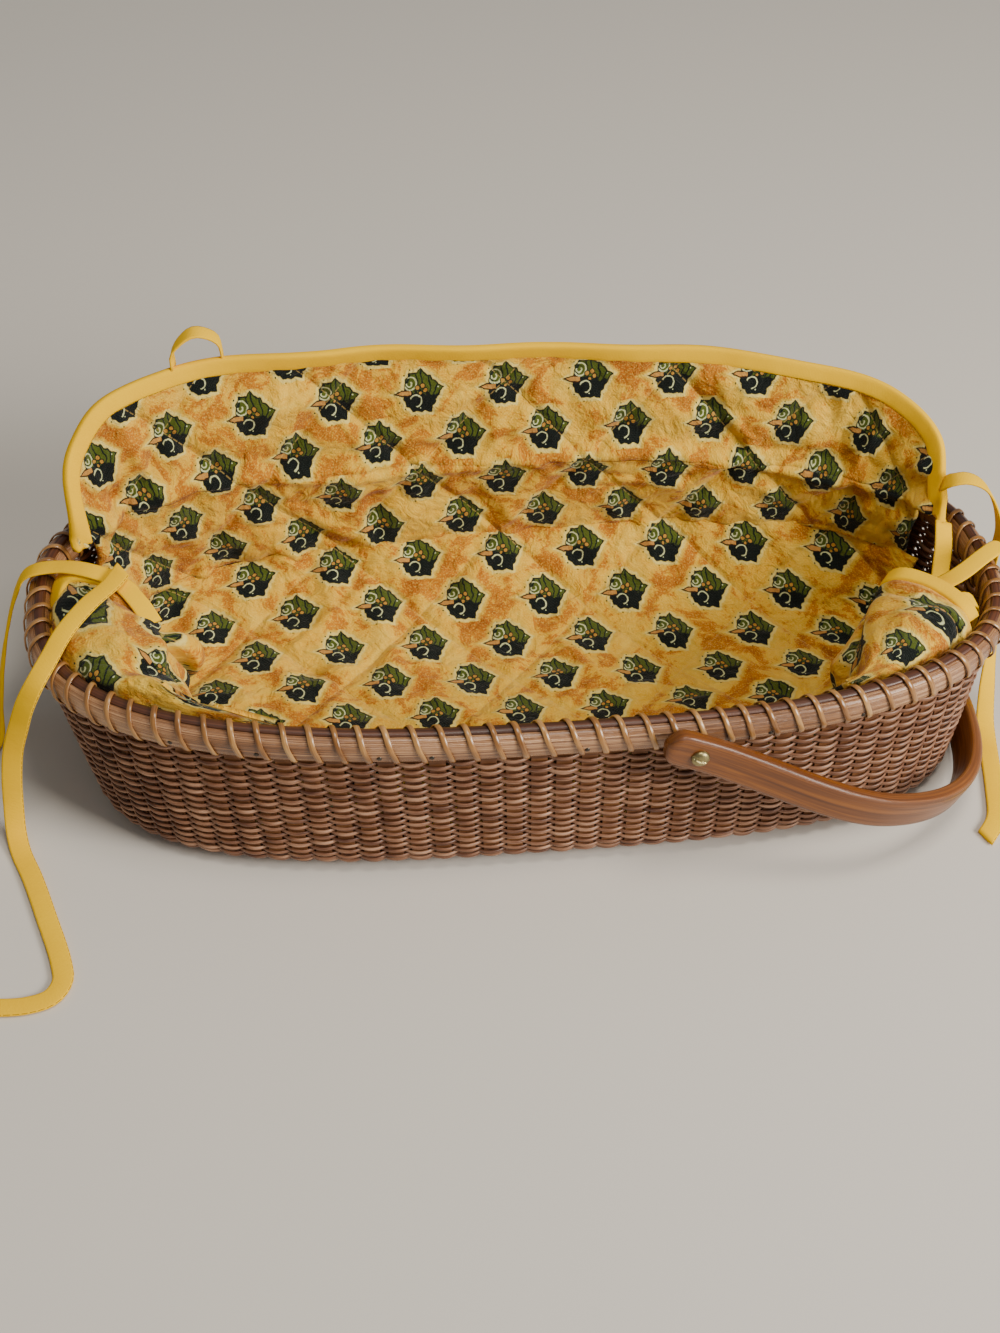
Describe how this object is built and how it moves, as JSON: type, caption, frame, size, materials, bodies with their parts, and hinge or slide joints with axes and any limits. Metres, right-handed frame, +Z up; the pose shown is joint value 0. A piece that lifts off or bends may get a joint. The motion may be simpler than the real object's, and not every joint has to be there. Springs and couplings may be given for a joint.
{
  "type": "lined woven basket",
  "caption": "Oval woven cane basket with a lashed rim, a wooden base, a swinging bentwood handle and a quilted, tape-bound fabric liner with ribbon ties.",
  "frame": {"origin": "middle of the basket's plan at the level of the base board's underside, which is also the table surface", "axes": "+X along the basket's length toward the end the handle is let down over, +Y toward the back where the liner's flap stands, +Z up"},
  "size_m": [0.4795, 0.2492, 0.1476],
  "materials": {
    "board": "waxed hardwood board",
    "stave": "flat cane strip, satin",
    "cane": "woven cane, satin",
    "hoop": "half-round bent hoop, oiled",
    "filler": "dark reed filler, satin",
    "lashing": "glossy cane strip",
    "bentwood": "steam-bent strip, semi-gloss lacquer",
    "screw": "dull plated brass",
    "nut": "darkened steel",
    "quilt": "quilted printed cotton",
    "tape": "plain woven cotton bias tape"
  },
  "bodies": {
    "basket": {"base_board": "board", "staves": "stave", "woven_wall": "cane", "outer_hoop": "hoop", "inner_hoop": "hoop", "rim_filler": "filler", "rim_lashing": "lashing", "pivot_screw_front": "screw", "pivot_spacer_front": "screw", "pivot_nut_front": "nut", "pivot_screw_back": "screw", "pivot_spacer_back": "screw", "pivot_nut_back": "nut", "rim_tack_1": "nut", "rim_tack_2": "nut", "rim_tack_3": "nut", "rim_tack_4": "nut", "rim_tack_5": "nut", "rim_tack_6": "nut", "rim_tack_7": "nut"},
    "handle": {"handle": "bentwood"},
    "liner": {"liner_floor": "quilt", "liner_front_panel": "quilt", "liner_back_panel": "quilt", "liner_back_flap": "quilt", "liner_left_end": "quilt", "liner_right_end": "quilt", "binding_front": "tape", "binding_back_flap": "tape", "binding_left_end": "tape", "binding_right_end": "tape", "tie_left_outer": "tape", "tie_left_front": "tape", "tie_right_outer": "tape", "tie_right_tail": "tape", "tie_right_loop": "tape", "tie_back_loop": "tape", "binding_back_end": "tape"}
  },
  "joints": [
    {"name": "handle_swing", "type": "hinge", "parent": "basket", "child": "handle", "pos_m": [0.05148, 0, 0.0712], "axis": [0, -1, 0], "range_deg": [0, 194], "deforming": ["liner_back_flap", "binding_back_flap", "tie_right_outer", "tie_right_loop", "tie_back_loop"]},
    {"name": "liner_lift", "type": "slide", "parent": "basket", "child": "liner", "axis": [0, 0, 1], "range_m": [0, 0.25]}
  ]
}
